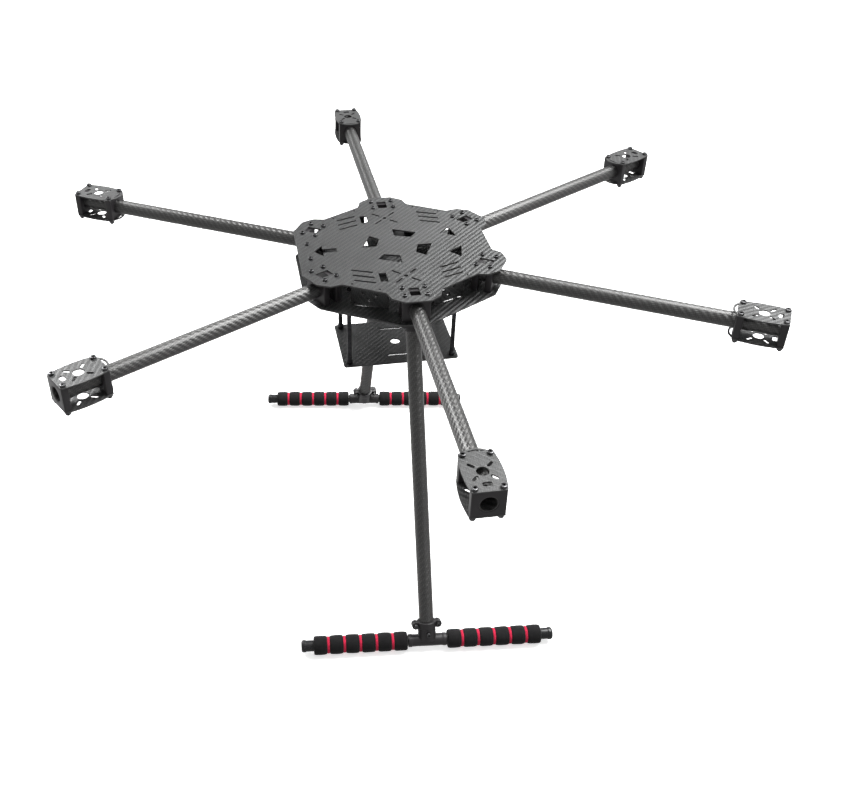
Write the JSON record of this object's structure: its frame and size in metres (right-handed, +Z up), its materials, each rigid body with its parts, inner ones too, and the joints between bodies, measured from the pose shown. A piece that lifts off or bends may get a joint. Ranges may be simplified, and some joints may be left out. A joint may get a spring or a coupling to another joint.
{
  "type": "hexacopter frame",
  "caption": "Six-armed multirotor frame: carbon hub plates, tube arms with motor mounts, hanging battery tray and two splayed legs with foam skids.",
  "frame": {"origin": "on the ground, below the middle of the hub", "axes": "+X towards the nose (the way the arrow in the top plate points), +Y to port, +Z up"},
  "size_m": [0.7994, 0.905, 0.4351],
  "materials": {
    "carbon_plate": "satin 3K twill carbon laminate",
    "carbon_tube": "ground 3K twill carbon tube, semi-gloss",
    "clamp_plastic": "black moulded nylon",
    "black_screws": "black oxide steel",
    "black_posts": "black anodised",
    "foam": "matt closed-cell foam",
    "foam_ring": "matt red foam ring",
    "cap_rubber": "black rubber cap"
  },
  "bodies": {
    "frame": {"hub_top_plate": "carbon_plate", "hub_bottom_plate": "carbon_plate", "hub_inner_clamps": "clamp_plastic", "hub_outer_clamps": "clamp_plastic", "hub_screws": "black_screws", "nose_standoffs": "black_posts", "tray_plate": "carbon_plate", "tray_posts": "black_posts", "tray_screws": "black_screws", "side_panel_nose_port": "carbon_plate", "side_panel_tail_port": "carbon_plate", "side_panel_tail_starboard": "carbon_plate", "side_panel_nose_starboard": "carbon_plate", "arm_tube_1": "carbon_tube", "arm_tube_2": "carbon_tube", "arm_tube_3": "carbon_tube", "arm_tube_4": "carbon_tube", "arm_tube_5": "carbon_tube", "arm_tube_6": "carbon_tube", "port_leg_socket": "clamp_plastic", "port_leg_tube": "carbon_tube", "starboard_leg_socket": "clamp_plastic", "starboard_leg_tube": "carbon_tube"},
    "motor_mount_1": {"mount_top_plate_1": "carbon_plate", "mount_bottom_plate_1": "carbon_plate", "mount_clamps_1": "clamp_plastic", "mount_screws_1": "black_screws"},
    "motor_mount_2": {"mount_top_plate_2": "carbon_plate", "mount_bottom_plate_2": "carbon_plate", "mount_clamps_2": "clamp_plastic", "mount_screws_2": "black_screws"},
    "motor_mount_3": {"mount_top_plate_3": "carbon_plate", "mount_bottom_plate_3": "carbon_plate", "mount_clamps_3": "clamp_plastic", "mount_screws_3": "black_screws"},
    "motor_mount_4": {"mount_top_plate_4": "carbon_plate", "mount_bottom_plate_4": "carbon_plate", "mount_clamps_4": "clamp_plastic", "mount_screws_4": "black_screws"},
    "motor_mount_5": {"mount_top_plate_5": "carbon_plate", "mount_bottom_plate_5": "carbon_plate", "mount_clamps_5": "clamp_plastic", "mount_screws_5": "black_screws"},
    "motor_mount_6": {"mount_top_plate_6": "carbon_plate", "mount_bottom_plate_6": "carbon_plate", "mount_clamps_6": "clamp_plastic", "mount_screws_6": "black_screws"},
    "port_skid": {"port_tee": "clamp_plastic", "port_tee_screws": "black_screws", "port_skid_tube": "carbon_tube", "port_foam_sleeves": "foam", "port_foam_rings": "foam_ring", "port_end_caps": "cap_rubber"},
    "starboard_skid": {"starboard_tee": "clamp_plastic", "starboard_tee_screws": "black_screws", "starboard_skid_tube": "carbon_tube", "starboard_foam_sleeves": "foam", "starboard_foam_rings": "foam_ring", "starboard_end_caps": "cap_rubber"}
  },
  "joints": [
    {"name": "mount_level_1", "type": "hinge", "parent": "frame", "child": "motor_mount_1", "pos_m": [0.36806, 0.2125, 0.4155], "axis": [0.866, 0.5, 0], "range_deg": [-15, 15]},
    {"name": "mount_level_2", "type": "hinge", "parent": "frame", "child": "motor_mount_2", "pos_m": [0, 0.425, 0.4155], "axis": [0, 1, 0], "range_deg": [-15, 15]},
    {"name": "mount_level_3", "type": "hinge", "parent": "frame", "child": "motor_mount_3", "pos_m": [-0.36806, 0.2125, 0.4155], "axis": [-0.866, 0.5, 0], "range_deg": [-15, 15]},
    {"name": "mount_level_4", "type": "hinge", "parent": "frame", "child": "motor_mount_4", "pos_m": [-0.36806, -0.2125, 0.4155], "axis": [-0.866, -0.5, 0], "range_deg": [-15, 15]},
    {"name": "mount_level_5", "type": "hinge", "parent": "frame", "child": "motor_mount_5", "pos_m": [0, -0.425, 0.4155], "axis": [0, -1, 0], "range_deg": [-15, 15]},
    {"name": "mount_level_6", "type": "hinge", "parent": "frame", "child": "motor_mount_6", "pos_m": [0.36806, -0.2125, 0.4155], "axis": [0.866, -0.5, 0], "range_deg": [-15, 15]},
    {"name": "port_skid_swivel", "type": "hinge", "parent": "frame", "child": "port_skid", "pos_m": [0, 0.25816, 0.012], "axis": [0, -0.3746, 0.9272], "range_deg": [-10.5, 19.5]},
    {"name": "starboard_skid_swivel", "type": "hinge", "parent": "frame", "child": "starboard_skid", "pos_m": [0, -0.25816, 0.012], "axis": [0, 0.3746, 0.9272], "range_deg": [-6.5, 23.5]}
  ]
}
